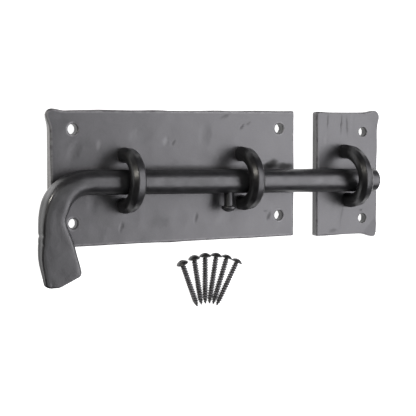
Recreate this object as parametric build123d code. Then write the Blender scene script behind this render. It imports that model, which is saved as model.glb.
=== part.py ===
from build123d import *
from math import asin, atan, copysign, cos, degrees, pi, radians, sin, sqrt
import os

# Hand-forged iron slide bolt for a cabinet door, lying on its back as in the photograph.
# Z = 0 is the back of both plates, +Z comes out of the door, +X is the way the bolt shoots
# and +Y is up the door. The origin is the middle of the main plate's four screw holes.
# Sizes are in millimetres.

# Plates, from flat bar
plate_thickness = 5.0
main_length = 158.0
main_height = 75.0
main_offset = (-1.15, -1.25)
keeper_gap = 16.4
keeper_length = 45.7
keeper_height = 75.3
keeper_drop = 0.7
corner_radius = 1.0
rim_softening = 0.9

# Corners that the hammer has drawn out: how far out along X and along Y, and how much thinner
# they are at the very corner, from the front (+) or from behind (-)
main_left_spread = (2.5, 0.2, -3.2)
keeper_top_spread = (1.3, 0.25, 0.5)
keeper_bottom_spread = (0.2, 1.6, 0.9)
spread_reach = 15.0
thinned_reach = 8.5

# Screw holes
screw_hole_diameter = 5.5
screw_hole_softening = 0.4
main_holes_apart = (133.7, 51.6)
keeper_holes_apart = 53.4
keeper_hole_edge = 11.3
keeper_hole_drop = 1.1

# Bolt: one bar, bent down at the left and drawn out flat to make the handle. It lies a
# little askew in its staples, so its places are counted along and across its own axis.
bolt_diameter = 14.0
bolt_axis_y = -3.95
bolt_askew = -0.85
bolt_running_gap = 0.4
bolt_tip_softening = 1.4
bolt_short_of_edge = 7.7
bend_start_x = -60.9
bend_inner_radius = 14.25

# Bar through the bend: degrees round it, then its width and thickness in bar diameters,
# and how square it has become
bend_sections = (
    (10.0, 1.0, 1.0, 2.0),
    (20.0, 1.015, 1.0, 2.0),
    (32.0, 1.04, 0.985, 2.1),
    (45.0, 1.06, 0.94, 2.6),
    (58.0, 1.055, 0.88, 3.6),
    (74.0, 1.01, 0.79, 5.0),
)

# Handle below the bend: how far down, how far its inner edge has moved inwards, then its
# width and thickness in bar diameters, and how square it has become
handle_sections = (
    (0.0, 0.0, 0.985, 0.7, 6.5),
    (7.0, 3.0, 1.175, 0.6, 8.0),
    (14.0, 5.7, 1.37, 0.51, 9.0),
    (22.0, 8.3, 1.525, 0.41, 9.0),
    (30.0, 10.1, 1.52, 0.32, 9.0),
    (37.0, 10.7, 1.4, 0.27, 9.0),
)

# Outline that the handle's foot is trimmed to, from where the bend's inner side ends, with
# the radius at each of its points
handle_foot = (
    ((-18.2, -16.5), 1.0),
    ((-10.1, -35.4), 5.0),
    ((-2.4, -35.2), 8.0),
    ((9.9, -29.3), 2.6),
    ((10.0, -21.7), 1.0),
    ((26.0, -10.0), 1.0),
    ((26.0, 50.0), 1.0),
    ((-25.0, 50.0), 1.0),
)

# Staples, from round bar, with shouldered ends riveted over at the back of the plate
staple_bar_diameter = 8.9
tenon_diameter = 6.4
tenon_fit = 0.05
rivet_spread = 1.2
rivet_depth = 1.5
keeper_staple_inset = 21.85

# Stop pin, screwed into the underside of the bolt between the two main staples
pin_x = 27.75
pin_diameter = 5.3
pin_shank_shown = 7.4
pin_depth = 6.0
pin_head_diameter = 8.4
pin_head_height = 3.3
pin_head_dome = 2.0
pin_fit = 0.05

# Round-head wood screws, laid out in a fan below the main plate
screw_length = 28.2
screw_point_length = 6.5
screw_thread_diameter = 3.3
screw_head_diameter = 6.9
screw_head_height = 2.2
screw_head_rim = 0.3
recess_length = 3.4
recess_width = 0.9
recess_depth = 1.2
fan_centre = (19.1, -91.4)
fan_tip_distance = 15.2
fan_angles = (-23.6, -12.8, -3.0, 6.8, 16.4, 26.2)

# Places and sizes that follow from those above
main_left = main_offset[0] - main_length / 2
main_right = main_offset[0] + main_length / 2
keeper_left = main_right + keeper_gap
keeper_right = keeper_left + keeper_length
keeper_y = main_offset[1] - keeper_drop
keeper_hole_x = keeper_right - keeper_hole_edge
keeper_hole_y = keeper_y - keeper_hole_drop
bolt_radius = bolt_diameter / 2
bolt_axis_z = plate_thickness + bolt_running_gap + bolt_radius
bolt_tip_x = keeper_right - bolt_short_of_edge
bend_y = -bend_inner_radius - bolt_radius
bolt_place = Pos(0, bolt_axis_y, bolt_axis_z) * Rot(0, 0, bolt_askew)
pin_place = Pos(pin_x, pin_depth - bolt_radius, 0) * Rot(90, 0, 0)
tenon_radius = tenon_diameter / 2
keeper_staple_x = keeper_left + keeper_staple_inset

# The smith bent each staple by eye, so each has its own place, its turn about Z, its lean
# along X at the top, its play beside and over the bolt, and its straight length of leg
staples = {
    "left_staple": (-36.0, -2.75, -1.2, -1.1, 2.65, 1.35, 3.9),
    "right_staple": (40.8, -3.2, 1.6, -1.9, 2.85, 1.85, 3.0),
    "keeper_staple": (keeper_staple_x, -3.2, 5.8, -2.0, 3.55, 4.15, 3.2),
}


def plate_corner(x, y, way_x, way_y, spread):
    """Edge of one corner, from the plate's end round to its long side."""
    if spread is None:
        inset = corner_radius * (1 - cos(pi / 4))
        return ThreePointArc(
            (x, y - way_y * corner_radius),
            (x - way_x * inset, y - way_y * inset),
            (x - way_x * corner_radius, y),
        )
    out_x, out_y = spread[:2]
    return Spline(
        (x, y - way_y * spread_reach),
        (x + way_x * 0.42 * out_x, y - way_y * 0.5 * spread_reach),
        (x + way_x * out_x, y - way_y * 0.08 * spread_reach),
        (x + way_x * (out_x - 1.1), y + way_y * out_y),
        (x - way_x * 0.45 * spread_reach, y + way_y * 0.6 * out_y),
        (x - way_x * spread_reach, y),
        tangents=[(0, way_y), (-way_x, 0)],
    )


def corner_places(left, right, centre_y, height):
    """The four corners with the ways out from them, from the top left one clockwise."""
    top = centre_y + height / 2
    bottom = centre_y - height / 2
    return ((left, top, -1, 1), (right, top, 1, 1), (right, bottom, 1, -1), (left, bottom, -1, -1))


def plate_outline(places, spreads):
    """Closed outline of a plate, from its corners and how far each is spread."""
    corners = [plate_corner(*place, spread) for place, spread in zip(places, spreads)]
    top_left, top_right, bottom_right, bottom_left = corners
    sides = [
        Line(top_left @ 1, top_right @ 1),
        Line(top_right @ 0, bottom_right @ 0),
        Line(bottom_right @ 1, bottom_left @ 1),
        Line(bottom_left @ 0, top_left @ 0),
    ]
    return make_face([corner.edge() for corner in corners] + [side.edge() for side in sides])


def off_thin_corner(x, y, way_x, way_y, thinner):
    """What a drawn-out corner has lost, on the far side of one sloping face."""
    slope = atan(abs(thinner) / thinned_reach)
    outwards = sin(slope) / sqrt(2)
    upwards = cos(slope) if thinner > 0 else -cos(slope)
    level = plate_thickness - thinner if thinner > 0 else -thinner
    face = Plane(origin=(x, y, level), z_dir=(way_x * outwards, way_y * outwards, upwards))
    side = 4 * thinned_reach
    return face * Box(side, side, 2 * plate_thickness, align=(Align.CENTER, Align.CENTER, Align.MIN))


def forged_plate(places, spreads, screw_holes, staple_feet):
    """Flat plate with softened front edges, thinned corners, screw holes and rivet holes."""
    plate = extrude(plate_outline(places, spreads), plate_thickness)
    front_rim = plate.faces().sort_by(Axis.Z)[-1].outer_wire().edges()
    plate = fillet(front_rim, rim_softening)
    for place, spread in zip(places, spreads):
        if spread is not None:
            plate -= off_thin_corner(*place, spread[2])
    middle = plate_thickness / 2
    for x, y in screw_holes:
        plate -= Pos(x, y, middle) * Cylinder(screw_hole_diameter / 2, 2 * plate_thickness)
    mouths = [
        edge
        for edge in plate.edges().filter_by(GeomType.CIRCLE)
        if abs(edge.center().Z - plate_thickness) < 0.01 and abs(edge.radius - screw_hole_diameter / 2) < 0.01
    ]
    plate = fillet(mouths, screw_hole_softening)
    for x, y in staple_feet:
        plate -= Pos(x, y, middle) * Cylinder(tenon_radius + tenon_fit, 2 * plate_thickness)
        plate -= Pos(x, y, 0) * rivet_head(tenon_fit)
    return plate


def rivet_head(extra):
    """Cone that the riveted end of a staple fills at the back of the plate."""
    return Cone(
        tenon_radius + rivet_spread + extra,
        tenon_radius + extra,
        rivet_depth,
        align=(Align.CENTER, Align.CENTER, Align.MIN),
    )


def staple_span(name):
    """Half width and height of a staple's middle line, over its plate."""
    beside, over = staples[name][4:6]
    half = bolt_radius + beside + staple_bar_diameter / 2
    height = bolt_running_gap + bolt_diameter + over + staple_bar_diameter / 2
    return half, height


def staple_feet(name):
    """Middles of a staple's two feet on the plate."""
    x, y, turn = staples[name][:3]
    half, height = staple_span(name)
    swing = radians(turn)
    return [(x - side * half * sin(swing), y + side * half * cos(swing)) for side in (-1, 1)]


def staple(name):
    """Round bar bent to a bow over the bolt, with its two ends through the plate."""
    x, y, turn, lean = staples[name][:4]
    leg = staples[name][6]
    half, height = staple_span(name)
    sunk = staple_bar_diameter
    path = (
        Line((0, -half, -sunk), (0, -half, leg))
        + Plane.YZ * EllipticalCenterArc((0, leg), half, height - leg, start_angle=180, arc_size=-180)
        + Line((0, half, leg), (0, half, -sunk))
    )
    section = Plane(origin=(0, -half, -sunk), z_dir=(0, 0, 1)) * Circle(staple_bar_diameter / 2)
    bar = sweep(section, path=path)
    bar = Rot(0, degrees(asin(lean / height)), 0) * bar
    below = Box(4 * half, 4 * half, 4 * sunk, align=(Align.CENTER, Align.CENTER, Align.MAX))
    bar = Pos(x, y, plate_thickness) * Rot(0, 0, turn) * (bar - below)
    for foot_x, foot_y in staple_feet(name):
        tenon = Cylinder(tenon_radius, plate_thickness, align=(Align.CENTER, Align.CENTER, Align.MIN))
        bar += Pos(foot_x, foot_y, 0) * (tenon + rivet_head(0))
    return bar


def flattened_section(width, thickness, squareness):
    """Closed outline between an ellipse and a box, as a bar has when it is hammered flat."""
    points = []
    count = 16
    for step in range(count):
        angle = 2 * pi * step / count
        across, through = (copysign(abs(way) ** (2 / squareness), way) for way in (cos(angle), sin(angle)))
        points.append((width / 2 * across, thickness / 2 * through))
    return make_face(Spline(*points, periodic=True))


def across_bend(angle, width):
    """Plane across the bolt's bar, so many degrees round its bend, at its middle there."""
    out_x, out_y = -sin(radians(angle)), cos(radians(angle))
    out = bend_inner_radius + width / 2
    return Plane(
        origin=(bend_start_x + out * out_x, bend_y + out * out_y, 0),
        x_dir=(out_x, out_y, 0),
        z_dir=(-out_y, out_x, 0),
    )


def handle():
    """End of the bolt's bar, hammered out into a flat, tapering handle."""
    inner_x = bend_start_x - bend_inner_radius
    sections = [across_bend(0, bolt_diameter) * flattened_section(bolt_diameter, bolt_diameter, 2)]
    for angle, wide, thick, squareness in bend_sections:
        width, thickness = wide * bolt_diameter, thick * bolt_diameter
        sections.append(across_bend(angle, width) * flattened_section(width, thickness, squareness))
    for down, inwards, wide, thick, squareness in handle_sections:
        width, thickness = wide * bolt_diameter, thick * bolt_diameter
        middle = (inner_x + inwards - width / 2, bend_y - down, 0)
        across = Plane(origin=middle, x_dir=(-1, 0, 0), z_dir=(0, -1, 0))
        sections.append(across * flattened_section(width, thickness, squareness))
    points = [point for point, radius in handle_foot]
    radii = [radius for point, radius in handle_foot]
    kept = make_face(FilletPolyline(*points, radius=radii, close=True))
    return loft(sections) & Pos(inner_x, bend_y, 0) * extrude(kept, bolt_diameter, both=True)


def bolt():
    """The whole bolt in one forging, with a hole in its underside for the stop pin."""
    start = across_bend(0, bolt_diameter) * flattened_section(bolt_diameter, bolt_diameter, 2)
    bar = extrude(start, bend_start_x - bolt_tip_x)
    bar = fillet(bar.faces().sort_by(Axis.X)[-1].edges(), bolt_tip_softening)
    socket = Cylinder(
        pin_diameter / 2 + pin_fit, 2 * pin_depth, align=(Align.CENTER, Align.CENTER, Align.MIN)
    )
    return bolt_place * (bar + handle() - pin_place * socket)


def dome(rim_radius, height, rim):
    """Side of a round head from its rim to its crown, as a half profile."""
    side_angle = 2 * atan((height - rim) / rim_radius)
    ball = rim_radius / sin(side_angle)
    half = side_angle / 2
    return (ball * sin(half), height - ball * (1 - cos(half)))


def headed_profile(shank_outline, head_radius, head_height, rim):
    """Half profile of a pin or screw whose round head stands on Z = 0, turned about Z."""
    shoulder = dome(head_radius, head_height, rim)
    lines = Polyline((0, shank_outline[0][1]), *shank_outline, (head_radius, 0), (head_radius, rim))
    crown = ThreePointArc((head_radius, rim), shoulder, (0, head_height))
    axis = Line((0, head_height), (0, shank_outline[0][1]))
    profile = make_face([*lines.edges(), crown.edge(), axis.edge()])
    return revolve(Plane.XZ * profile, Axis.Z)


def stop_pin():
    """Round-headed pin in the underside of the bolt, which meets the staples at either end."""
    reach = pin_depth + pin_shank_shown
    radius = pin_diameter / 2
    pin = headed_profile(
        ((radius, -reach), (radius, 0)), pin_head_diameter / 2, pin_head_height, pin_head_height - pin_head_dome
    )
    return bolt_place * pin_place * Pos(0, 0, reach) * pin


def screw():
    """Wood screw, point down, with the underside of its round head on Z = 0."""
    radius = screw_thread_diameter / 2
    body = headed_profile(
        ((0.05, -screw_length), (radius, screw_point_length - screw_length), (radius, 0)),
        screw_head_diameter / 2,
        screw_head_height,
        screw_head_rim,
    )
    for turn in (45, 135):
        slot = Box(recess_length, recess_width, 2 * recess_depth)
        body -= Pos(0, 0, screw_head_height) * Rot(0, 0, turn) * slot
    return body


def laid_screw(angle):
    """One screw of the fan, lying on the rim of its head and the start of its point."""
    head, shank = screw_head_diameter / 2, screw_thread_diameter / 2
    tilt = atan((head - shank) / (screw_length - screw_point_length))
    out = fan_tip_distance + screw_length * cos(tilt)
    place = (
        fan_centre[0] + out * sin(radians(angle)),
        fan_centre[1] + out * cos(radians(angle)),
        head * cos(tilt),
    )
    return Pos(*place) * Rot(0, 0, -angle) * Rot(degrees(tilt) - 90, 0, 0) * screw()


half_x, half_y = main_holes_apart[0] / 2, main_holes_apart[1] / 2
main_holes = [(x, y) for x in (-half_x, half_x) for y in (-half_y, half_y)]
keeper_holes = [(keeper_hole_x, keeper_hole_y + side * keeper_holes_apart / 2) for side in (-1, 1)]
main_corners = corner_places(main_left, main_right, main_offset[1], main_height)
main_spreads = (main_left_spread, None, None, main_left_spread)
main_feet = staple_feet("left_staple") + staple_feet("right_staple")
keeper_corners = corner_places(keeper_left, keeper_right, keeper_y, keeper_height)
keeper_spreads = (None, keeper_top_spread, keeper_bottom_spread, None)

nodes = {
    "main_plate": forged_plate(main_corners, main_spreads, main_holes, main_feet),
    "keeper_plate": forged_plate(keeper_corners, keeper_spreads, keeper_holes, staple_feet("keeper_staple")),
    "bolt": bolt(),
    "stop_pin": stop_pin(),
}
for name in staples:
    nodes[name] = staple(name)
for number, angle in enumerate(fan_angles, start=1):
    nodes[f"screw_{number}"] = laid_screw(angle)

os.makedirs("parts", exist_ok=True)
for name, node in nodes.items():
    export_step(node, f"parts/{name}.step")
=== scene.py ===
import math

import bmesh
import bpy
import numpy as np
from mathutils import Matrix, Vector


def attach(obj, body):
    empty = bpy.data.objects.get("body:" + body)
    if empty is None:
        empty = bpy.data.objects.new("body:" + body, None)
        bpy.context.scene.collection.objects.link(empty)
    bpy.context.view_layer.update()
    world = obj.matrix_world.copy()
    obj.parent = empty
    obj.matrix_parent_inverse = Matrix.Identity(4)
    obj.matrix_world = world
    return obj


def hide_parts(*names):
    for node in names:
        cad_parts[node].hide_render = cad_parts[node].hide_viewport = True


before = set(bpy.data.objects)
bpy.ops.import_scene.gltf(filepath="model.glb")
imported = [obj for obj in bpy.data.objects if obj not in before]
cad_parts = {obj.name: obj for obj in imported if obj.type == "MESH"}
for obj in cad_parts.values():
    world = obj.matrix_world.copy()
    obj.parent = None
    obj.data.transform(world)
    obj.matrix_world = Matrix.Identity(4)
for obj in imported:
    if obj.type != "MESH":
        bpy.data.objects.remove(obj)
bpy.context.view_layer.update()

# Hand-forged slide bolt lying on its back on a pale floor. Everything is in metres, in the
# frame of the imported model: +Z out of the door, +X the way the bolt shoots.
MM = 0.001

# Camera, as it stood for the photograph
CAMERA_PLACE = (-0.35824, 0.02823, 0.65669)
CAMERA_RIGHT = (0.866000611, -0.000766375, 0.500042353)
CAMERA_UP = (0.03261769, 0.99795567, -0.05495961)
CAMERA_BACK = (-0.49897798, 0.06390529, 0.86425522)
CAMERA_LENS = 112.81
CAMERA_SENSOR = 36.0

# Floor and studio
FLOOR_SIZE = 4.0
FLOOR_GAP = 0.05 * MM
FLOOR_GLOW = 0.93
SET_CENTRE = Vector((0.02, -0.02, 0.01))

# Lamps: a broad one to the right of the camera, a weaker one above, and two small ones. Each has
# its place, its size along and across, how bright its face is, and its colour.
SOFT_BOXES = {
    "overhead_box": ((0.60, -0.02, 0.72), 0.53, 1.30, 4.1, (1.0, 0.985, 1.035)),
    "overhead_fill": ((-0.12, -0.02, 0.86), 0.36, 1.30, 1.25, (1.0, 1.0, 1.0)),
    "right_strip": ((0.92, 0.0, 0.39), 0.07, 0.30, 6.0, (1.0, 1.0, 1.0)),
    "left_window": ((-0.60, 0.34, 0.40), 0.07, 0.17, 50.0, (1.0, 0.96, 0.88)),
}

# Surface meshes: how fine each forged piece is cut up before the hammer goes over it
PLATE_GRID = 0.56 * MM
KEEPER_GRID = 0.45 * MM
BOLT_GRID = 0.41 * MM
STAPLE_GRID = 0.36 * MM
PIN_GRID = 0.24 * MM

# Marks the hammer left, as the photograph shows them, and among the bolt's one painted highlight.
# Each has its place, turn, length, width and depth in millimetres and degrees, and how much paler
# (+) or darker (-) it is.
MAIN_MARKS = [
    (-51.3, 17.1, 75, 8.0, 4.0, 0.05, 1.3),
    (-9.9, 18.9, 70, 8.0, 5.0, 0.06, 1.5),
    (-4.8, 18.0, 55, 6.0, 2.0, 0.10, -0.7),
    (-37.9, -28.8, 78, 8.0, 2.6, 0.14, -0.6),
    (9.9, -25.2, 80, 8.0, 2.6, 0.14, -0.6),
    (29.3, 33.1, 25, 10.0, 3.0, 0.08, -0.5),
    (40.8, 26.9, 50, 7.0, 2.2, 0.12, -0.7),
    (45.0, 28.8, 25, 5.0, 2.0, 0.10, -0.6),
    (59.6, -26.0, 68, 8.5, 2.4, 0.14, -0.8),
    (57.0, -22.9, 10, 4.0, 1.8, 0.08, -0.6),
    (-66.0, 14.0, 60, 16.0, 9.0, 0.14, -0.25),
    (-26.0, 22.0, 15, 20.0, 11.0, 0.12, 0.2),
    (16.0, 22.0, 80, 18.0, 10.0, 0.12, -0.2),
    (-55.0, -12.0, 80, 22.0, 9.0, 0.12, 0.2),
    (-16.0, -27.0, 5, 24.0, 10.0, 0.12, -0.2),
    (30.0, -26.0, 20, 18.0, 9.0, 0.12, 0.2),
]

# Dark patches on the plate above the bar, and a painted shadow along the top of the bar, only dark
# and not struck in
DARK_PATCHES_AND_PAINTED_SHADOW = [
    (59.0, 3.4, 0, 16.0, 5.0, 0.0, -1.8),
    (62.0, 5.0, 20, 12.0, 7.0, 0.0, -1.8),
    (71.0, 3.4, 0, 20.0, 5.5, 0.0, -1.8),
    # Painted shadow: a long dark strip on the plate just above the bar, the length of the plate.
    (2.0, 2.4, -0.85, 170.0, 7.0, 0.0, -1.0),
]

KEEPER_MARKS = [
    (102.3, 30.3, 88, 16.0, 1.8, 0.06, -0.7),
    (112.3, 28.5, 86, 17.0, 1.8, 0.08, -0.8),
    (116.6, 27.5, 92, 17.0, 1.8, 0.08, -0.7),
    (100.9, 19.4, 80, 9.0, 4.0, 0.10, 0.5),
    (106.5, -36.7, 10, 9.0, 4.0, 0.14, -0.5),
    (127.8, -24.7, 30, 2.8, 2.0, 0.10, -1.0),
    (120.0, 30.0, 85, 22.0, 5.0, 0.10, 0.35),
    (109.0, -24.0, 84, 26.0, 8.0, 0.10, 0.2),
    (113.0, -26.0, 80, 26.0, 1.6, 0.05, -0.4),
    (132.0, 6.0, 85, 26.0, 7.0, 0.10, 0.2),
]
BOLT_MARKS_AND_PAINTED_HIGHLIGHT = [
    (-90.6, -31.2, 95, 3.4, 5.0, 0.40, 0.8),
    (-89.5, -35.4, 80, 2.0, 3.0, 0.20, 0.5),
    # Painted highlight on the outside of the bend: paler and smoother, not struck in.
    (-84.0, -8.0, 58, 12.0, 5.0, 0.0, 1.5),
    (-20.0, -3.6, 5, 14.0, 6.0, 0.05, 0.2),
    (5.0, -4.2, -8, 16.0, 5.0, 0.05, -0.2),
    (86.0, -5.0, 4, 12.0, 5.0, 0.05, 0.2),
]

# Flats along the outside of each staple: which way each leans towards +X, and how far it spreads
STAPLE_FLATS = [(9.0, 25.0), (-40.0, 17.0)]

# How hard the hammer went over each kind of stock, in millimetres. Nothing below the back height
# is touched, so the plates lie flat and the staples' shoulders stay seated.
PLATE_WORK = {
    "Wave Size": 30.0,
    "Wave Depth": 0.14,
    "Dent Size": 11.0,
    "Dent Depth": 0.07,
    "Edge Wave": 1.0,
}
BAR_WORK = {"Wave Size": 16.0, "Wave Depth": 0.08, "Dent Size": 6.5, "Dent Depth": 0.05}
PIN_WORK = {"Wave Size": 4.0, "Wave Depth": 0.03, "Dent Size": 3.0, "Dent Depth": 0.03}
STAPLE_SHOULDER = 5.0
NO_BACK = -50.0

# Wood screws
SCREW_HEAD_HEIGHT = 2.2 * MM
SCREW_HEAD_RADIUS = 3.45 * MM
SCREW_HEAD_RIM = 0.3 * MM
SCREW_THREAD_RADIUS = 1.65 * MM
SCREW_CORE_RADIUS = 1.15 * MM
SCREW_PITCH = 1.5 * MM
SCREW_POINT = 4.2 * MM
SCREW_POINT_CURVE = 0.6
SCREW_LENGTH = 28.2 * MM
SCREW_SIDES = 28
RINGS_PER_TURN = 12
CREST_SHARE = 0.75
CREST_STEEPNESS = 1.8
THREAD_START = 0.4 * MM
THREAD_RUN_OUT = 1.2 * MM
RECESS_HALF_LENGTH = 1.75 * MM
RECESS_HALF_WIDTH = 0.42 * MM
RECESS_DEPTH = 1.3 * MM


def link(piece):
    """Puts a new object into the scene."""
    bpy.context.scene.collection.objects.link(piece)
    return piece


def live(sockets, name):
    """The socket of that name that the node's settings have switched on."""
    return next(socket for socket in sockets if socket.enabled and socket.name == name)


class Sheet:
    """Places and joins nodes in one node tree."""

    def __init__(self, tree):
        self.tree = tree

    def add(self, kind, inputs=None, **settings):
        node = self.tree.nodes.new(kind)
        for key, value in settings.items():
            setattr(node, key, value)
        for key, value in (inputs or {}).items():
            self.feed(live(node.inputs, key), value)
        return node

    def feed(self, socket, value):
        if isinstance(value, bpy.types.NodeSocket):
            self.tree.links.new(value, socket)
        else:
            socket.default_value = value

    def math(self, operation, *values, clamp=False):
        node = self.tree.nodes.new("ShaderNodeMath")
        node.operation = operation
        node.use_clamp = clamp
        for socket, value in zip(node.inputs, values):
            self.feed(socket, value)
        return node.outputs[0]

    def vector(self, operation, *values):
        node = self.tree.nodes.new("ShaderNodeVectorMath")
        node.operation = operation
        for socket, value in zip(node.inputs, values):
            self.feed(socket, value)
        return node

    def ramp(self, value, low, high, to_low=0.0, to_high=1.0):
        """Smooth step of a value from one level to another."""
        node = self.add(
            "ShaderNodeMapRange",
            {
                "Value": value,
                "From Min": low,
                "From Max": high,
                "To Min": to_low,
                "To Max": to_high,
            },
            interpolation_type="SMOOTHSTEP",
        )
        return live(node.outputs, "Result")

    def mix(self, factor, first, second):
        """Mix of two colours."""
        inputs = {"Factor": factor, "A": first, "B": second}
        node = self.add("ShaderNodeMix", inputs, data_type="RGBA")
        return live(node.outputs, "Result")

    def in_millimetres(self, place):
        node = self.vector("SCALE", place)
        node.inputs["Scale"].default_value = 1000.0
        return node.outputs[0]


# Camera, floor, light


def add_camera():
    data = bpy.data.cameras.new("camera")
    data.lens = CAMERA_LENS
    data.sensor_width = CAMERA_SENSOR
    data.clip_end = 20.0
    camera = link(bpy.data.objects.new("camera", data))
    columns = (CAMERA_RIGHT, CAMERA_UP, CAMERA_BACK)
    camera.matrix_world = Matrix.Translation(CAMERA_PLACE) @ Matrix(columns).transposed().to_4x4()
    bpy.context.scene.camera = camera


def seen_ray(sheet):
    """1 on rays that show a surface: from the camera, or by way of gloss or glass."""
    path = sheet.add("ShaderNodeLightPath")
    gloss, glass = path.outputs["Is Glossy Ray"], path.outputs["Is Transmission Ray"]
    return sheet.math("MAXIMUM", path.outputs["Is Camera Ray"], sheet.math("MAXIMUM", gloss, glass))


def add_floor():
    mesh = bpy.data.meshes.new("floor")
    half = FLOOR_SIZE / 2
    corners = [(-half, -half), (half, -half), (half, half), (-half, half)]
    mesh.from_pydata([(x, y, -FLOOR_GAP) for x, y in corners], [], [(0, 1, 2, 3)])
    floor = link(bpy.data.objects.new("floor", mesh))
    paper = bpy.data.materials.new("white_paper")
    paper.use_nodes = True
    paper.node_tree.nodes.clear()
    sheet = Sheet(paper.node_tree)
    matt = sheet.add("ShaderNodeBsdfDiffuse", {"Color": (0.7, 0.7, 0.7, 1)})
    lift = sheet.math("MULTIPLY", seen_ray(sheet), FLOOR_GLOW)
    glow = sheet.add("ShaderNodeEmission", {"Strength": lift})
    both = sheet.add("ShaderNodeAddShader")
    sheet.feed(both.inputs[0], matt.outputs[0])
    sheet.feed(both.inputs[1], glow.outputs[0])
    sheet.add("ShaderNodeOutputMaterial", {"Surface": both.outputs[0]})
    mesh.materials.append(paper)


def add_world():
    world = bpy.data.worlds.new("studio")
    bpy.context.scene.world = world
    world.use_nodes = True
    world.node_tree.nodes.clear()
    sheet = Sheet(world.node_tree)
    strength = sheet.ramp(seen_ray(sheet), 0.0, 1.0, 0.15, 1.0)
    sky = sheet.add("ShaderNodeBackground", {"Color": (1, 1, 1, 1), "Strength": strength})
    sheet.add("ShaderNodeOutputWorld", {"Surface": sky.outputs[0]})


def facing_centre(place):
    """Place and turn of something that faces the set, its Y axis kept along the world's."""
    outwards = (Vector(place) - SET_CENTRE).normalized()
    along = Vector((0, 1, 0)).cross(outwards).normalized()
    across = outwards.cross(along)
    turn = Matrix((along, across, outwards)).transposed().to_4x4()
    return Matrix.Translation(place) @ turn


def add_soft_box(name, place, length, width, glow, colour):
    """Lamp with an even face, its width along Y. Glow is how bright that face is."""
    data = bpy.data.lights.new(name, "AREA")
    data.shape = "RECTANGLE"
    data.size = length
    data.size_y = width
    data.energy = glow * math.pi * length * width
    data.color = colour
    lamp = link(bpy.data.objects.new(name, data))
    lamp.matrix_world = facing_centre(place)
    lamp.visible_camera = False


def add_black_card(name, corners):
    """Dark card with the given corners, which the iron mirrors. The camera doesn't see it, and
    it takes no light from anything else."""
    mesh = bpy.data.meshes.new(name)
    mesh.from_pydata(corners, [], [tuple(range(len(corners)))])
    material = bpy.data.materials.new(name)
    material.use_nodes = True
    shader = material.node_tree.nodes["Principled BSDF"]
    shader.inputs["Base Color"].default_value = (0.02, 0.02, 0.022, 1)
    shader.inputs["Roughness"].default_value = 1.0
    mesh.materials.append(material)
    card = link(bpy.data.objects.new(name, mesh))
    card.visible_camera = False
    card.visible_diffuse = False
    card.visible_shadow = False


def add_black_cards():
    """Walls and ceiling of the studio, which leave only the lamps and the floor to mirror."""
    left, break_x, right = -1.3, -0.3, 1.25
    back, front = 1.3, -1.3
    low, high = 0.0, 1.1
    ceiling = [(left, front, high), (right, front, high), (right, back, high), (left, back, high)]
    add_black_card("ceiling_card", ceiling)
    for name, start, end, near, far in (
        ("upper_card", break_x, right, 0.06, 1.1),
        ("lower_card", break_x, right, -0.065, -1.1),
        ("upper_left_card", left, break_x, 0.9, 0.9),
        ("lower_left_card", left, break_x, -0.3, -0.9),
    ):
        foot = [(start, near, low), (end, near, low)]
        add_black_card(name, [*foot, (end, far, high), (start, far, high)])
    for name, x, foot in (("left_card", left, low), ("right_card", right, 0.15)):
        add_black_card(name, [(x, front, foot), (x, back, foot), (x, back, high), (x, front, high)])


# Iron finishes


def new_group(name, inputs, outputs):
    """Shader node group with named inputs (name, kind, value) and outputs (name, kind)."""
    group = bpy.data.node_groups.new(name, "ShaderNodeTree")
    for label, kind, value in inputs:
        socket = group.interface.new_socket(label, in_out="INPUT", socket_type="NodeSocket" + kind)
        socket.default_value = value
    for label, kind in outputs:
        group.interface.new_socket(label, in_out="OUTPUT", socket_type="NodeSocket" + kind)
    sheet = Sheet(group)
    start = sheet.add("NodeGroupInput")
    end = sheet.add("NodeGroupOutput")
    return group, sheet, start.outputs, end


def forge_scale_group():
    """Mottle that fire and wax leave on black iron: broad clouds, streaks and fine specks."""
    group, sheet, given, end = new_group(
        "forge_scale",
        [
            ("Dark", "Color", (0.02, 0.02, 0.02, 1)),
            ("Light", "Color", (0.05, 0.05, 0.05, 1)),
            ("Cloud Size", "Float", 12.0),
            ("Speck Size", "Float", 0.8),
            ("Smooth", "Float", 0.34),
            ("Rough", "Float", 0.5),
        ],
        [("Color", "Color"), ("Roughness", "Float"), ("Speck", "Float")],
    )
    place = sheet.add("ShaderNodeTexCoord").outputs["Object"]
    in_mm = sheet.in_millimetres(place)
    cloud_scale = sheet.math("DIVIDE", 1.0, given["Cloud Size"])
    speck_scale = sheet.math("DIVIDE", 1.0, given["Speck Size"])
    cloud = sheet.add(
        "ShaderNodeTexNoise",
        {
            "Vector": in_mm,
            "Scale": cloud_scale,
            "Detail": 5.0,
            "Roughness": 0.55,
            "Distortion": 0.6,
        },
    ).outputs["Fac"]
    speck = sheet.add(
        "ShaderNodeTexNoise",
        {"Vector": in_mm, "Scale": speck_scale, "Detail": 3.0, "Roughness": 0.6},
    ).outputs["Fac"]
    clouds = sheet.ramp(cloud, 0.34, 0.68)
    specks = sheet.ramp(speck, 0.42, 0.66)
    blend = sheet.math("MULTIPLY_ADD", clouds, 0.75, sheet.math("MULTIPLY", specks, 0.25))
    sheet.feed(end.inputs["Color"], sheet.mix(blend, given["Dark"], given["Light"]))
    spread = sheet.math("SUBTRACT", given["Rough"], given["Smooth"])
    roughness = sheet.math("ADD", given["Smooth"], sheet.math("MULTIPLY", spread, blend))
    sheet.feed(end.inputs["Roughness"], roughness)
    sheet.feed(end.inputs["Speck"], specks)
    return group


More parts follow.
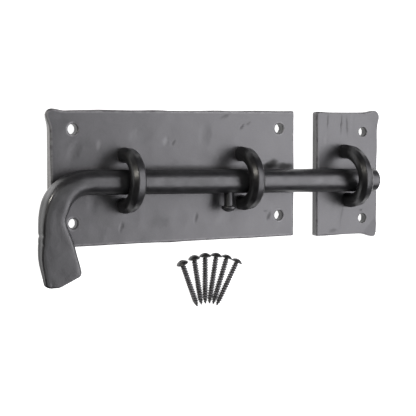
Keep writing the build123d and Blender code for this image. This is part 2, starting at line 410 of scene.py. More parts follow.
def rubbed_edges_group():
    """Mask of the high edges where the black has rubbed thin, broken up so it isn't even."""
    group, sheet, given, end = new_group(
        "rubbed_edges",
        [("Amount", "Float", 0.5), ("Start", "Float", 0.03), ("Full", "Float", 0.12)],
        [("Mask", "Float")],
    )
    ridge = sheet.add("ShaderNodeAttribute", attribute_name="ridge").outputs["Fac"]
    place = sheet.add("ShaderNodeTexCoord").outputs["Object"]
    broken = sheet.add(
        "ShaderNodeTexNoise", {"Vector": place, "Scale": 260.0, "Detail": 4.0, "Roughness": 0.6}
    ).outputs["Fac"]
    high = sheet.add(
        "ShaderNodeMapRange",
        {"Value": ridge, "From Min": given["Start"], "From Max": given["Full"]},
    ).outputs[0]
    patchy = sheet.math("MULTIPLY", high, sheet.ramp(broken, 0.35, 0.6, 0.25, 1.0))
    sheet.feed(end.inputs["Mask"], sheet.math("MULTIPLY", patchy, given["Amount"], clamp=True))
    return group


def forged_skin_group():
    """Height of the fine skin of forged iron: scale pits and short scratches under the wax."""
    group, sheet, given, end = new_group(
        "forged_skin",
        [
            ("Pit Size", "Float", 1.6),
            ("Grain Size", "Float", 0.35),
            ("Pits", "Float", 0.5),
            ("Grain", "Float", 0.3),
        ],
        [("Height", "Float")],
    )
    place = sheet.add("ShaderNodeTexCoord").outputs["Object"]
    in_mm = sheet.in_millimetres(place)
    pits = sheet.add(
        "ShaderNodeTexNoise",
        {"Vector": in_mm, "Scale": sheet.math("DIVIDE", 1.0, given["Pit Size"]), "Detail": 4.0},
    ).outputs["Fac"]
    grain = sheet.add(
        "ShaderNodeTexNoise",
        {"Vector": in_mm, "Scale": sheet.math("DIVIDE", 1.0, given["Grain Size"]), "Detail": 2.0},
    ).outputs["Fac"]
    fine = sheet.math("MULTIPLY", grain, given["Grain"])
    sheet.feed(end.inputs["Height"], sheet.math("MULTIPLY_ADD", pits, given["Pits"], fine))
    return group


def struck_and_painted_tone_group():
    """Colour and roughness where a hammer face burnished the black or scale was driven in,
    and where a highlight or a shadow is painted.
    """
    group, sheet, given, end = new_group(
        "struck_and_painted_tone",
        [
            ("Color", "Color", (0.03, 0.03, 0.03, 1)),
            ("Roughness", "Float", 0.4),
            ("Burnish", "Float", 0.0),
        ],
        [("Color", "Color"), ("Roughness", "Float")],
    )
    tone = sheet.add("ShaderNodeAttribute", attribute_name="tone").outputs["Fac"]
    paler = sheet.math("MAXIMUM", tone, 0.0)
    darker = sheet.math("MAXIMUM", sheet.math("MULTIPLY", tone, -1.0), 0.0)
    lifted = sheet.mix(sheet.math("MULTIPLY", paler, 0.35), given["Color"], (0.16, 0.16, 0.165, 1))
    sunk = sheet.mix(sheet.math("MULTIPLY", darker, 0.85), lifted, (0.006, 0.006, 0.006, 1))
    sheet.feed(end.inputs["Color"], sunk)
    duller = sheet.math("ADD", given["Roughness"], sheet.math("MULTIPLY", darker, 0.22))
    smoother = sheet.math("MULTIPLY", sheet.math("MINIMUM", paler, 1.0), given["Burnish"])
    sheet.feed(end.inputs["Roughness"], sheet.math("SUBTRACT", duller, smoother))
    return group


GROUPS = {}


def build_groups():
    GROUPS["scale"] = forge_scale_group()
    GROUPS["edges"] = rubbed_edges_group()
    GROUPS["skin"] = forged_skin_group()
    GROUPS["tone"] = struck_and_painted_tone_group()


def place_group(sheet, key, values):
    node = sheet.add("ShaderNodeGroup")
    node.node_tree = GROUPS[key]
    for label, value in values.items():
        sheet.feed(node.inputs[label], value)
    return node


def iron(
    name,
    dark,
    light,
    wear_and_sheen,
    clouds,
    smooth,
    rough,
    edge,
    skin,
    bump,
    sides=0.0,
    burnish=0.0,
    gloss=0.9,
):
    """Black iron. Its worn colour is that of its rubbed edges, and on screw crests also a painted
    glint;
    sides is how much of that colour is painted on the cut sides of a plate as a painted reflection,
    and burnish how much smoother the paler marks are. The tone attribute holds the paler and darker
    hammer marks, with a painted highlight and a painted shadow among them."""
    material = bpy.data.materials.new(name)
    material.use_nodes = True
    material.node_tree.nodes.clear()
    sheet = Sheet(material.node_tree)
    scale = place_group(
        sheet,
        "scale",
        {
            "Dark": (*dark, 1),
            "Light": (*light, 1),
            "Cloud Size": clouds,
            "Speck Size": 0.9,
            "Smooth": smooth,
            "Rough": rough,
        },
    )
    edges = place_group(sheet, "edges", edge)
    tone = place_group(
        sheet,
        "tone",
        {
            "Color": scale.outputs["Color"],
            "Roughness": scale.outputs["Roughness"],
            "Burnish": burnish,
        },
    )
    colour = sheet.mix(edges.outputs["Mask"], tone.outputs["Color"], (*wear_and_sheen, 1))
    # Painted reflection: the plate's outer sides are mixed towards the pale colour of rubbed edges.
    if sides:
        side = sheet.add("ShaderNodeAttribute", attribute_name="side").outputs["Fac"]
        colour = sheet.mix(sheet.math("MULTIPLY", side, sides), colour, (*wear_and_sheen, 1))
    height = place_group(sheet, "skin", skin).outputs["Height"]
    relief = sheet.add("ShaderNodeBump", {"Height": height, "Strength": bump, "Distance": 0.1 * MM})
    shader = sheet.add(
        "ShaderNodeBsdfPrincipled",
        {
            "Base Color": colour,
            "Roughness": tone.outputs["Roughness"],
            "Specular IOR Level": gloss,
            "Normal": relief.outputs["Normal"],
        },
    )
    sheet.add("ShaderNodeOutputMaterial", {"Surface": shader.outputs[0]})
    return material


def build_irons():
    plate = iron(
        "plate_iron",
        dark=(0.020, 0.020, 0.022),
        light=(0.042, 0.041, 0.045),
        wear_and_sheen=(0.30, 0.295, 0.30),
        clouds=14.0,
        smooth=0.33,
        rough=0.41,
        edge={"Amount": 0.4, "Start": 0.03, "Full": 0.14},
        skin={"Pit Size": 2.2, "Grain Size": 0.5, "Pits": 0.6, "Grain": 0.3},
        bump=0.35,
        # Its outer sides are painted paler, as a painted reflection.
        sides=0.8,
    )
    bar = iron(
        "bar_iron",
        dark=(0.006, 0.006, 0.007),
        light=(0.016, 0.016, 0.018),
        wear_and_sheen=(0.08, 0.078, 0.08),
        clouds=9.0,
        smooth=0.36,
        rough=0.46,
        edge={"Amount": 0.35, "Start": 0.05, "Full": 0.2},
        skin={"Pit Size": 1.4, "Grain Size": 0.4, "Pits": 0.5, "Grain": 0.35},
        bump=0.3,
        burnish=0.16,
    )
    staple = iron(
        "staple_iron",
        dark=(0.005, 0.005, 0.006),
        light=(0.013, 0.013, 0.014),
        wear_and_sheen=(0.08, 0.078, 0.08),
        clouds=7.0,
        smooth=0.34,
        rough=0.42,
        edge={"Amount": 0.3, "Start": 0.05, "Full": 0.2},
        skin={"Pit Size": 1.6, "Grain Size": 0.5, "Pits": 0.5, "Grain": 0.25},
        bump=0.3,
        gloss=0.72,
    )
    screw = iron(
        "screw_iron",
        dark=(0.004, 0.004, 0.004),
        light=(0.010, 0.010, 0.011),
        # Paler thread crests: partly wear, partly a painted glint.
        wear_and_sheen=(0.14, 0.135, 0.145),
        clouds=5.0,
        smooth=0.36,
        rough=0.46,
        edge={"Amount": 0.9, "Start": 0.1, "Full": 0.9},
        skin={"Pit Size": 0.8, "Grain Size": 0.3, "Pits": 0.4, "Grain": 0.3},
        bump=0.3,
    )
    return plate, bar, staple, screw


# Forged pieces


def cad_copy(node, name):
    """New object with a copy of a CAD node's mesh, its loose triangles joined."""
    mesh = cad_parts[node].data.copy()
    mesh.name = name
    mesh.materials.clear()
    work = bmesh.new()
    work.from_mesh(mesh)
    bmesh.ops.remove_doubles(work, verts=work.verts, dist=0.001 * MM)
    work.to_mesh(mesh)
    work.free()
    return link(bpy.data.objects.new(name, mesh))


def new_tree(name, inputs):
    """Geometry Nodes tree that takes in geometry and named values and gives geometry."""
    tree = bpy.data.node_groups.new(name, "GeometryNodeTree")
    for label, kind, value in [("Geometry", "Geometry", None), *inputs]:
        socket = tree.interface.new_socket(label, in_out="INPUT", socket_type="NodeSocket" + kind)
        if value is not None:
            socket.default_value = value
    tree.interface.new_socket("Geometry", in_out="OUTPUT", socket_type="NodeSocketGeometry")
    sheet = Sheet(tree)
    given = sheet.add("NodeGroupInput").outputs
    end = sheet.add("NodeGroupOutput")
    return tree, sheet, given, end


def noted(sheet, geometry, name, value):
    """Geometry with a value of its points stored under a name."""
    return sheet.add(
        "GeometryNodeStoreNamedAttribute",
        {"Geometry": geometry, "Name": name, "Value": value},
        data_type="FLOAT",
        domain="POINT",
    ).outputs[0]


def moved(sheet, geometry, offset):
    """Geometry with each point moved by an offset in metres."""
    inputs = {"Geometry": geometry, "Offset": offset}
    return sheet.add("GeometryNodeSetPosition", inputs).outputs[0]


def blurred(sheet, value, iterations):
    """A vector of the points, averaged with their neighbours' that many times."""
    node = sheet.add(
        "GeometryNodeBlurAttribute",
        {"Value": value, "Iterations": iterations},
        data_type="FLOAT_VECTOR",
    )
    return live(node.outputs, "Value")


def axes(sheet, vector):
    """The X, Y and Z of a vector."""
    return sheet.add("ShaderNodeSeparateXYZ", {"Vector": vector}).outputs


def pushed(sheet, geometry, distance):
    """Geometry moved out along its normals, by a distance in millimetres."""
    normal = sheet.add("GeometryNodeInputNormal").outputs[0]
    offset = sheet.vector("SCALE", normal)
    sheet.feed(offset.inputs["Scale"], sheet.math("MULTIPLY", distance, MM))
    return moved(sheet, geometry, offset.outputs[0])


def hammer_tree():
    """Goes over a surface with a hammer: long waves, shallow dents and uneven edges. The ridges
    of the smooth shape are stored first."""
    tree, sheet, given, end = new_tree(
        "hammer_work",
        [
            ("Wave Size", "Float", 30.0),
            ("Wave Depth", "Float", 0.1),
            ("Dent Size", "Float", 9.0),
            ("Dent Depth", "Float", 0.06),
            ("Edge Wave", "Float", 0.0),
            ("Back Height", "Float", 0.0),
            ("Seed", "Float", 0.0),
        ],
    )
    position = sheet.add("GeometryNodeInputPosition").outputs[0]
    normal = sheet.add("GeometryNodeInputNormal").outputs[0]
    in_mm = sheet.in_millimetres(position)
    stand = sheet.vector("SUBTRACT", position, blurred(sheet, position, 6)).outputs[0]
    stand = sheet.vector("DOT_PRODUCT", stand, normal).outputs["Value"]
    ridge = sheet.math("MULTIPLY", stand, 1000.0)
    wave = sheet.add(
        "ShaderNodeTexNoise",
        {
            "Vector": in_mm,
            "W": given["Seed"],
            "Scale": sheet.math("DIVIDE", 1.0, given["Wave Size"]),
            "Detail": 1.5,
            "Roughness": 0.4,
        },
        noise_dimensions="4D",
    ).outputs["Fac"]
    cell = sheet.add(
        "ShaderNodeTexVoronoi",
        {
            "Vector": in_mm,
            "W": given["Seed"],
            "Scale": sheet.math("DIVIDE", 1.0, given["Dent Size"]),
            "Smoothness": 0.35,
        },
        voronoi_dimensions="4D",
        feature="SMOOTH_F1",
    ).outputs["Distance"]
    swell = sheet.math("MULTIPLY", sheet.math("SUBTRACT", wave, 0.5), 2.0)
    hollow = sheet.math("MULTIPLY", sheet.ramp(cell, 0.15, 0.75, -1.0, 0.0), given["Dent Depth"])
    sideways = sheet.ramp(sheet.math("ABSOLUTE", axes(sheet, normal)["Z"]), 0.7, 0.2)
    reach = sheet.math("MULTIPLY_ADD", sideways, given["Edge Wave"], given["Wave Depth"])
    height = sheet.math("SUBTRACT", axes(sheet, in_mm)["Z"], given["Back Height"])
    front = sheet.ramp(height, 0.15, 1.6)
    push = sheet.math("MULTIPLY_ADD", swell, reach, hollow)
    ridged = noted(sheet, given["Geometry"], "ridge", ridge)
    sheet.feed(end.inputs["Geometry"], pushed(sheet, ridged, sheet.math("MULTIPLY", push, front)))
    return tree


def round_sides_tree():
    """Gives the flat handle the round sides of the bar it was drawn from: between its two faces
    each side bows out, more on the left, and the faces keep a clear edge. Half Thickness is the
    handle's at Gauge Y, and grows by Taper for each millimetre up from there."""
    tree, sheet, given, end = new_tree(
        "round_sides",
        [
            ("Start", "Float", -16.0),
            ("Axis Height", "Float", 12.4),
            ("Gauge Y", "Float", -45.0),
            ("Half Thickness", "Float", 2.97),
            ("Taper", "Float", 0.083),
            ("Edge Angle", "Float", 40.0),
            ("Bow", "Float", 0.55),
            ("Growth", "Float", 0.45),
            ("Left Growth", "Float", 0.45),
            ("Reach", "Float", 6.5),
            ("Ease", "Float", 18.0),
            ("Run Up", "Float", 4.0),
        ],
    )
    position = sheet.add("GeometryNodeInputPosition").outputs[0]
    normal = sheet.add("GeometryNodeInputNormal").outputs[0]
    parts = axes(sheet, sheet.in_millimetres(position))
    below = sheet.math("SUBTRACT", given["Start"], parts["Y"])
    on_side = sheet.math("LESS_THAN", sheet.math("ABSOLUTE", axes(sheet, normal)["Z"]), 0.5)
    run_up = sheet.math("MULTIPLY", given["Run Up"], -1.0)
    chosen = sheet.math("MULTIPLY", on_side, sheet.math("GREATER_THAN", below, run_up))
    sides = sheet.add(
        "GeometryNodeSeparateGeometry",
        {"Geometry": given["Geometry"], "Selection": chosen},
        domain="FACE",
    ).outputs["Selection"]
    nearest = sheet.add(
        "GeometryNodeSampleNearestSurface",
        {"Mesh": sides, "Value": normal, "Sample Position": position},
        data_type="FLOAT_VECTOR",
    )
    away = sheet.add("GeometryNodeProximity", {"Geometry": sides, "Sample Position": position})
    level = sheet.vector("MULTIPLY", live(nearest.outputs, "Value"), (1.0, 1.0, 0.0)).outputs[0]
    outwards = sheet.vector("NORMALIZE", level).outputs[0]
    from_gauge = sheet.math("SUBTRACT", parts["Y"], given["Gauge Y"])
    half = sheet.math("MULTIPLY_ADD", from_gauge, given["Taper"], given["Half Thickness"])
    off_axis = sheet.math("ABSOLUTE", sheet.math("SUBTRACT", parts["Z"], given["Axis Height"]))
    off_axis = sheet.math("MINIMUM", off_axis, half)
    edge = sheet.math("COSINE", sheet.math("RADIANS", given["Edge Angle"]))
    radius = sheet.math("DIVIDE", half, edge)
    square = sheet.math("POWER", radius, 2.0)
    square = sheet.math("SUBTRACT", square, sheet.math("POWER", off_axis, 2.0))
    drop = sheet.math("SUBTRACT", radius, sheet.math("SQRT", square))
    inset = sheet.math("MULTIPLY", drop, given["Bow"])
    in_mm = sheet.math("MULTIPLY", away.outputs["Distance"], 1000.0)
    fade = sheet.math("SUBTRACT", 1.0, sheet.math("DIVIDE", in_mm, given["Reach"]), clamp=True)
    fade = sheet.math("MULTIPLY", fade, sheet.ramp(below, 0.0, given["Ease"]))
    leftwards = sheet.math("MULTIPLY", axes(sheet, outwards)["X"], -1.0)
    growth = sheet.math("MULTIPLY_ADD", leftwards, given["Left Growth"], given["Growth"])
    push = sheet.math("MULTIPLY", sheet.math("SUBTRACT", growth, inset), fade)
    offset = sheet.vector("SCALE", outwards)
    sheet.feed(offset.inputs["Scale"], sheet.math("MULTIPLY", push, MM))
    smooth = blurred(sheet, offset.outputs[0], 4)
    sheet.feed(end.inputs["Geometry"], moved(sheet, given["Geometry"], smooth))
    return tree


def hammered_flat_tree():
    """Hammers a wavering flat along the outside of a bent bar. Lean is how far the flat faces
    towards +X, and Spread how far it goes round the bar to either side."""
    tree, sheet, given, end = new_tree(
        "hammered_flat",
        [
            ("Bar Radius", "Float", 4.45),
            ("Lean", "Float", 0.0),
            ("Spread", "Float", 30.0),
            ("Waver", "Float", 16.0),
            ("Middle Y", "Float", -3.0),
            ("Middle Height", "Float", 16.0),
            ("Seed", "Float", 0.0),
        ],
    )
    position = sheet.add("GeometryNodeInputPosition").outputs[0]
    in_mm = sheet.in_millimetres(position)
    noise = sheet.add(
        "ShaderNodeTexNoise",
        {"Vector": in_mm, "W": given["Seed"], "Scale": 0.11, "Detail": 1.0},
        noise_dimensions="4D",
    ).outputs["Fac"]
    waver = sheet.math("MULTIPLY", sheet.math("SUBTRACT", noise, 0.5), given["Waver"])
    lean = sheet.math("RADIANS", sheet.math("ADD", given["Lean"], waver))
    normal = axes(sheet, sheet.add("GeometryNodeInputNormal").outputs[0])
    off = sheet.math("SUBTRACT", sheet.math("ARCSINE", normal["X"]), lean)
    rim = sheet.math("COSINE", sheet.math("RADIANS", given["Spread"]))
    stands = sheet.math("MAXIMUM", sheet.math("SUBTRACT", sheet.math("COSINE", off), rim), 0.0)
    radial = sheet.add("ShaderNodeCombineXYZ", {"Y": normal["Y"], "Z": normal["Z"]}).outputs[0]
    radial = sheet.vector("NORMALIZE", radial).outputs[0]
    middle = sheet.add(
        "ShaderNodeCombineXYZ", {"Y": given["Middle Y"], "Z": given["Middle Height"]}
    ).outputs[0]
    from_middle = sheet.vector("SUBTRACT", in_mm, middle).outputs[0]
    turned_out = sheet.vector("DOT_PRODUCT", radial, from_middle).outputs["Value"]
    outside = sheet.math("GREATER_THAN", turned_out, 0.0)
    up = sheet.vector("SCALE", radial)
    sheet.feed(up.inputs["Scale"], sheet.math("COSINE", lean))
    along = sheet.add("ShaderNodeCombineXYZ", {"X": sheet.math("SINE", lean)}).outputs[0]
    facing = sheet.vector("SCALE", sheet.vector("ADD", up.outputs[0], along).outputs[0])
    cut = sheet.math("MULTIPLY", sheet.math("MULTIPLY", stands, given["Bar Radius"]), outside)
    sheet.feed(facing.inputs["Scale"], sheet.math("MULTIPLY", cut, -MM))
    sheet.feed(end.inputs["Geometry"], moved(sheet, given["Geometry"], facing.outputs[0]))
    return tree


def painted_side_sheen_tree():
    """Marks a plate's outer sides for a painted reflection: points near its outline whose normals
    lie flat.
    """
    inputs = [("Margin", "Float", 5.0), ("Amount", "Float", 1.0)]
    tree, sheet, given, end = new_tree("plate_sides_painted_sheen", inputs)
    box = sheet.add("GeometryNodeBoundBox", {"Geometry": given["Geometry"]}).outputs
    position = sheet.add("GeometryNodeInputPosition").outputs[0]
    gaps = []
    for far, near in ((box["Max"], position), (position, box["Min"])):
        gap = sheet.in_millimetres(sheet.vector("SUBTRACT", far, near).outputs[0])
        parts = axes(sheet, gap)
        gaps.append(sheet.math("MINIMUM", parts["X"], parts["Y"]))
    inside = sheet.math("MINIMUM", *gaps)
    normal = sheet.add("GeometryNodeInputNormal").outputs[0]
    flat = sheet.ramp(sheet.math("ABSOLUTE", axes(sheet, normal)["Z"]), 0.75, 0.25)
    outer = sheet.math("MULTIPLY", sheet.math("LESS_THAN", inside, given["Margin"]), flat)
    pale = sheet.math("MULTIPLY", outer, given["Amount"])
    sheet.feed(end.inputs["Geometry"], noted(sheet, given["Geometry"], "side", pale))
    return tree


def finish_off(sheet, geometry, finish, end):
    """Ends a tree: its instances made real, and its material set."""
    real = sheet.add("GeometryNodeRealizeInstances", {"Geometry": geometry}).outputs[0]
    inputs = {"Geometry": real, "Material": finish}
    finished = sheet.add("GeometryNodeSetMaterial", inputs).outputs[0]
    sheet.feed(end.inputs["Geometry"], finished)


def oval_mark_group():
    """How deep in one long mark a point lies, from 0 at its rim to 1 in its middle."""
    tree = bpy.data.node_groups.new("oval_mark", "GeometryNodeTree")
    tree.interface.new_socket("Place", in_out="INPUT", socket_type="NodeSocketVector")
    for label in ("X", "Y", "Turn", "Length", "Width"):
        tree.interface.new_socket(label, in_out="INPUT", socket_type="NodeSocketFloat")
    tree.interface.new_socket("Strength", in_out="OUTPUT", socket_type="NodeSocketFloat")
    sheet = Sheet(tree)
    given = sheet.add("NodeGroupInput").outputs
    end = sheet.add("NodeGroupOutput")
    middle = sheet.add("ShaderNodeCombineXYZ", {"X": given["X"], "Y": given["Y"]}).outputs[0]
    back_turn = sheet.math("MULTIPLY", given["Turn"], -math.pi / 180)
    turned = sheet.add(
        "ShaderNodeVectorRotate",
        {"Vector": given["Place"], "Center": middle, "Angle": back_turn},
        rotation_type="Z_AXIS",
    ).outputs[0]
    from_middle = sheet.vector("SUBTRACT", turned, middle).outputs[0]
    size = sheet.add(
        "ShaderNodeCombineXYZ", {"X": given["Length"], "Y": given["Width"], "Z": 1.0}
    ).outputs[0]
    part = sheet.vector("DIVIDE", from_middle, size).outputs[0]
    flat = sheet.vector("MULTIPLY", part, (2.0, 2.0, 0.0)).outputs[0]
    away = sheet.vector("LENGTH", flat).outputs["Value"]
    sheet.feed(end.inputs["Strength"], sheet.ramp(away, 1.0, 0.15))
    return tree


def marks_tree(name, oval, marks):
    """Strikes each mark into the surface, its rim made uneven, and stores how pale it is. Painted
    highlights and shadows among the marks have no depth, so only their colour shows.
    """
    inputs = [("Uneven", "Float", 1.6), ("Finish", "Material", None)]
    tree, sheet, given, end = new_tree(name, inputs)
    place = sheet.in_millimetres(sheet.add("GeometryNodeInputPosition").outputs[0])
    noise = sheet.add("ShaderNodeTexNoise", {"Vector": place, "Scale": 0.35, "Detail": 2.0})
    centred = sheet.vector("SUBTRACT", noise.outputs["Color"], (0.5, 0.5, 0.5)).outputs[0]
    shift = sheet.vector("SCALE", centred)
    sheet.feed(shift.inputs["Scale"], given["Uneven"])
    place = sheet.vector("ADD", place, shift.outputs[0]).outputs[0]
    depth, tone = 0.0, 0.0
    for x, y, turn, length, width, deep, pale in marks:
        mark = sheet.add("GeometryNodeGroup", node_tree=oval)
        values = (place, x, y, turn, length, width)
        for label, value in zip(("Place", "X", "Y", "Turn", "Length", "Width"), values):
            sheet.feed(mark.inputs[label], value)
        strength = mark.outputs["Strength"]
        depth = sheet.math("MULTIPLY_ADD", strength, -deep, depth)
        tone = sheet.math("MULTIPLY_ADD", strength, pale, tone)
    toned = noted(sheet, given["Geometry"], "tone", tone)
    finish_off(sheet, pushed(sheet, toned, depth), given["Finish"], end)
    return tree


def set_inputs(modifier, values):
    """Sets a Geometry Nodes modifier's named inputs by their identifiers."""
    for item in modifier.node_group.interface.items_tree:
        if item.item_type == "SOCKET" and item.in_out == "INPUT" and item.name in values:
            modifier[item.identifier] = values[item.name]


def bake(piece):
    """Turns an object with modifiers into a plain, smooth mesh."""
    bpy.context.view_layer.update()
    graph = bpy.context.evaluated_depsgraph_get()
    mesh = bpy.data.meshes.new_from_object(piece.evaluated_get(graph), depsgraph=graph)
    piece.modifiers.clear()
    piece.data = mesh
    mesh.polygons.foreach_set("use_smooth", np.ones(len(mesh.polygons), bool))
    return piece


def work_over(piece, tree, values):
    """Adds a Geometry Nodes tree to a piece, with its named inputs set."""
    modifier = piece.modifiers.new(tree.name, "NODES")
    modifier.node_group = tree
    set_inputs(modifier, values)


def forge(node, name, body, grid, steps):
    """Forged copy of a CAD node: cut up finely, softened, then worked over step by step."""
    piece = cad_copy(node, name)
    remesh = piece.modifiers.new("grid", "REMESH")
    remesh.mode = "VOXEL"
    remesh.voxel_size = grid
    smooth = piece.modifiers.new("soften", "SMOOTH")
    smooth.factor = 0.5
    smooth.iterations = 2
    for tree, values in steps:
        work_over(piece, tree, values)
    bake(piece)
    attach(piece, body)
    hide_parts(node)


def add_ironwork(plate_iron, bar_iron, staple_iron):
    hammer, flat, sides, oval = hammer_tree(), hammered_flat_tree(), painted_side_sheen_tree(), oval_mark_group()
    main_marks_and_painted_shadow = marks_tree("main_marks_and_painted_shadow", oval, MAIN_MARKS + DARK_PATCHES_AND_PAINTED_SHADOW)
    keeper_marks = marks_tree("keeper_marks", oval, KEEPER_MARKS)
    bolt_marks_and_painted_highlight = marks_tree("bolt_marks_and_painted_highlight", oval, BOLT_MARKS_AND_PAINTED_HIGHLIGHT)
    no_marks = marks_tree("no_marks", oval, [])
    # pale is how strongly each plate's outer sides are painted with a paler reflection.
    for node, grid, seed, pale, marks in (
        ("main_plate", PLATE_GRID, 3.1, 0.9, main_marks_and_painted_shadow),
        ("keeper_plate", KEEPER_GRID, 9.4, 0.0, keeper_marks),
    ):
        work = {**PLATE_WORK, "Seed": seed}
        steps = [(sides, {"Amount": pale}), (hammer, work), (marks, {"Finish": plate_iron})]
        forge(node, "forged_" + node, "plates", grid, steps)
    for node, seed in (("left_staple", 7.7), ("right_staple", 2.2), ("keeper_staple", 5.9)):
        work = {**BAR_WORK, "Back Height": STAPLE_SHOULDER, "Seed": seed}
        steps = []
        for lean, spread in STAPLE_FLATS:
            steps.append((flat, {"Lean": lean, "Spread": spread, "Seed": seed}))
        steps += [(hammer, work), (no_marks, {"Finish": staple_iron})]
        forge(node, "forged_" + node, "plates", STAPLE_GRID, steps)
    work = {**BAR_WORK, "Back Height": NO_BACK, "Seed": 4.6}
    steps = [(round_sides_tree(), {}), (hammer, work), (bolt_marks_and_painted_highlight, {"Finish": bar_iron})]
    forge("bolt", "forged_bolt", "bolt", BOLT_GRID, steps)
    steps = [(hammer, {**PIN_WORK, "Back Height": NO_BACK}), (no_marks, {"Finish": bar_iron})]
    forge("stop_pin", "turned_stop_pin", "bolt", PIN_GRID, steps)


# Wood screws


def screw_shank():
    """Threaded shank with its point, as rings of vertices from the head down to the tip."""
    around = SCREW_SIDES
    rings = int(SCREW_LENGTH / (SCREW_PITCH / RINGS_PER_TURN))
    turns = np.arange(around) / around
    depths = np.linspace(0.0, SCREW_LENGTH, rings)
    angle = 2 * np.pi * turns
    vertices = []
    for depth in depths:
        to_tip = SCREW_LENGTH - depth
        taper = min(1.0, (to_tip / SCREW_POINT) ** SCREW_POINT_CURVE)
        fade = min(1.0, max(0.0, depth - THREAD_START) / THREAD_RUN_OUT)
        phase = (depth / SCREW_PITCH - turns) % 1.0
        slope = CREST_STEEPNESS * (1.0 - np.abs(phase - 0.5) * 2 / CREST_SHARE)
        thread = (SCREW_THREAD_RADIUS - SCREW_CORE_RADIUS) * np.clip(slope, 0.0, 1.0)
        radius = (SCREW_CORE_RADIUS + thread * fade) * taper
        radius = np.maximum(radius, 0.03 * MM)
        across, up = radius * np.cos(angle), radius * np.sin(angle)
        vertices.append(np.stack([across, up, np.full(around, -depth)], axis=1))
    return np.concatenate(vertices), rings, around


def screw_head():
    """Round head as rings from the middle of its underside out to the rim and up to the crown."""
    around = SCREW_SIDES
    rise = SCREW_HEAD_HEIGHT - SCREW_HEAD_RIM
    side_angle = 2 * math.atan(rise / SCREW_HEAD_RADIUS)
    ball = SCREW_HEAD_RADIUS / math.sin(side_angle)
    underside = [(0.2 * MM, 0.0), (SCREW_HEAD_RADIUS - 0.15 * MM, 0.0)]
    outline = [*underside, (SCREW_HEAD_RADIUS, 0.12 * MM)]
    steps = 14
    for step in range(steps + 1):
        angle = side_angle * (1 - step / steps)
        height = SCREW_HEAD_HEIGHT - ball * (1 - math.cos(angle))
        outline.append((max(ball * math.sin(angle), 0.02 * MM), height))
    turns = 2 * np.pi * np.arange(around) / around
    rings = []
    for radius, height in outline:
        across, up = radius * np.cos(turns), radius * np.sin(turns)
        rings.append(np.stack([across, up, np.full(around, height)], axis=1))
    return np.concatenate(rings), len(outline), around


def ring_mesh(name, vertices, rings, around):
    """Closed mesh from rings of vertices, with its two ends filled."""
    faces = []
    for ring in range(rings - 1):
        for side in range(around):
            after = (side + 1) % around
            first, second = ring * around, (ring + 1) * around
            faces.append((first + side, first + after, second + after, second + side))
    faces.append(tuple(range(around))[::-1])
    faces.append(tuple((rings - 1) * around + side for side in range(around)))
    mesh = bpy.data.meshes.new(name)
    mesh.from_pydata([tuple(vertex) for vertex in vertices], [], faces)
    work = bmesh.new()
    work.from_mesh(mesh)
    bmesh.ops.recalc_face_normals(work, faces=work.faces)
    work.to_mesh(mesh)
    work.free()
    return mesh


def recess_cutter():
    """Cross-shaped wedge that narrows as it goes into the head."""
    work = bmesh.new()
    for quarter in range(2):
        made = bmesh.ops.create_cube(work, size=1.0)
        for vertex in made["verts"]:
            top = vertex.co.z > 0
            narrow = 1.0 if top else 0.45
            x = vertex.co.x * 2 * RECESS_HALF_LENGTH * narrow
            y = vertex.co.y * 2 * RECESS_HALF_WIDTH * (1.0 if top else 0.8)
            z = SCREW_HEAD_HEIGHT + (1.0 * MM if top else -RECESS_DEPTH)
            vertex.co = (x, y, z) if quarter == 0 else (-y, x, z + 0.01 * MM)
    bmesh.ops.recalc_face_normals(work, faces=work.faces)
    mesh = bpy.data.meshes.new("recess_cutter")
    work.to_mesh(mesh)
    work.free()
    return link(bpy.data.objects.new("recess_cutter", mesh))


def make_screw():
    """One screw, point down, with the underside of its head at the origin."""
    head = link(bpy.data.objects.new("screw_pattern", ring_mesh("screw_head", *screw_head())))
    shank = link(bpy.data.objects.new("screw_shank", ring_mesh("screw_shank", *screw_shank())))
    cutter = recess_cutter()
    for name, operation, other in (("recess", "DIFFERENCE", cutter), ("shank", "UNION", shank)):
        step = head.modifiers.new(name, "BOOLEAN")
        step.operation = operation
        step.object = other
        step.solver = "EXACT"
        step.use_self = True
    bake(head)
    for spare in (cutter, shank):
        bpy.data.objects.remove(spare)
    return head


def screw_axis(node):
    """Head underside and rotation of a screw, read from its CAD node."""
    points = np.array([vertex.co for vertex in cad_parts[node].data.vertices])
    middle = points.mean(0)
    axis = np.linalg.svd(points - middle, full_matrices=False)[2][0]
    along = (points - middle) @ axis
    spread = np.linalg.norm(points - middle - np.outer(along, axis), axis=1)
    if spread[along > 0].max() < spread[along < 0].max():
        axis, along = -axis, -along
    centre_line = points[along < along.min() + 1.0 * MM].mean(0)
    crown = points[along > along.max() - 0.3 * MM].mean(0)
    direction = Vector(crown - centre_line).normalized()
    seat = Vector(crown) - direction * (SCREW_HEAD_HEIGHT - 0.1 * MM)
    return seat, direction.to_track_quat("Z", "Y").to_euler()


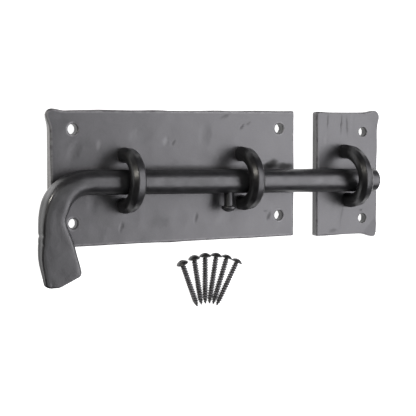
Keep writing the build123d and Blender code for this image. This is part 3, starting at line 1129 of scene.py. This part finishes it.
def screw_tree():
    """Lays a screw on each point of a mesh, turned as the point says and rolled at random."""
    tree, sheet, given, end = new_tree(
        "laid_screws",
        [
            ("Screw", "Object", None),
            ("Most Roll", "Float", 6.0),
            ("Seed", "Int", 0),
            ("Finish", "Material", None),
        ],
    )
    screw = sheet.add("GeometryNodeObjectInfo", {"Object": given["Screw"]}).outputs["Geometry"]
    position = sheet.in_millimetres(sheet.add("GeometryNodeInputPosition").outputs[0])
    level = sheet.vector("MULTIPLY", position, (1.0, 1.0, 0.0)).outputs[0]
    off_axis = sheet.vector("LENGTH", level).outputs["Value"]
    # Thread crests take the paler colour of rubbed edges: partly wear, partly a painted glint.
    crest_wear_and_glint = sheet.ramp(off_axis, SCREW_CORE_RADIUS / MM + 0.15, SCREW_THREAD_RADIUS / MM)
    on_shank = sheet.math("LESS_THAN", axes(sheet, position)["Z"], -0.3)
    crest_wear_and_glint = sheet.math("MULTIPLY", crest_wear_and_glint, on_shank)
    screw = noted(sheet, screw, "ridge", crest_wear_and_glint)
    turn = sheet.add(
        "GeometryNodeInputNamedAttribute", {"Name": "turn"}, data_type="FLOAT_VECTOR"
    ).outputs[0]
    aim = sheet.add("FunctionNodeEulerToRotation", {"Euler": turn}).outputs[0]
    roll = sheet.add(
        "FunctionNodeRandomValue",
        {"Max": given["Most Roll"], "Seed": given["Seed"]},
        data_type="FLOAT",
    )
    rolled = sheet.add("ShaderNodeCombineXYZ", {"Z": live(roll.outputs, "Value")}).outputs[0]
    rolled = sheet.add("FunctionNodeEulerToRotation", {"Euler": rolled}).outputs[0]
    both = sheet.add(
        "FunctionNodeRotateRotation",
        {"Rotation": aim, "Rotate By": rolled},
        rotation_space="LOCAL",
    )
    laid = sheet.add(
        "GeometryNodeInstanceOnPoints",
        {"Points": given["Geometry"], "Instance": screw, "Rotation": both.outputs[0]},
    )
    finish_off(sheet, laid.outputs[0], given["Finish"], end)
    return tree


def add_screws(finish):
    pattern = make_screw()
    names = sorted(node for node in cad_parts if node.startswith("screw_"))
    places = [screw_axis(node) for node in names]
    mesh = bpy.data.meshes.new("wood_screws")
    mesh.from_pydata([seat for seat, turn in places], [], [])
    turns = mesh.attributes.new("turn", "FLOAT_VECTOR", "POINT")
    for row, (seat, turn) in zip(turns.data, places):
        row.vector = turn
    piece = link(bpy.data.objects.new("wood_screws", mesh))
    layer = piece.modifiers.new("laid", "NODES")
    layer.node_group = screw_tree()
    set_inputs(layer, {"Screw": pattern, "Most Roll": 2 * math.pi, "Seed": 5, "Finish": finish})
    bake(piece)
    lowest = min(vertex.co.z for vertex in piece.data.vertices)
    piece.data.transform(Matrix.Translation((0, 0, -lowest)))
    bpy.data.objects.remove(pattern)
    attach(piece, "plates")
    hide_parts(*names)


add_camera()
add_floor()
add_world()
for lamp_name, lamp in SOFT_BOXES.items():
    add_soft_box(lamp_name, *lamp)
add_black_cards()
bpy.context.scene.view_settings.view_transform = "Standard"
build_groups()
plate_iron, bar_iron, staple_iron, screw_iron = build_irons()
add_ironwork(plate_iron, bar_iron, staple_iron)
add_screws(screw_iron)
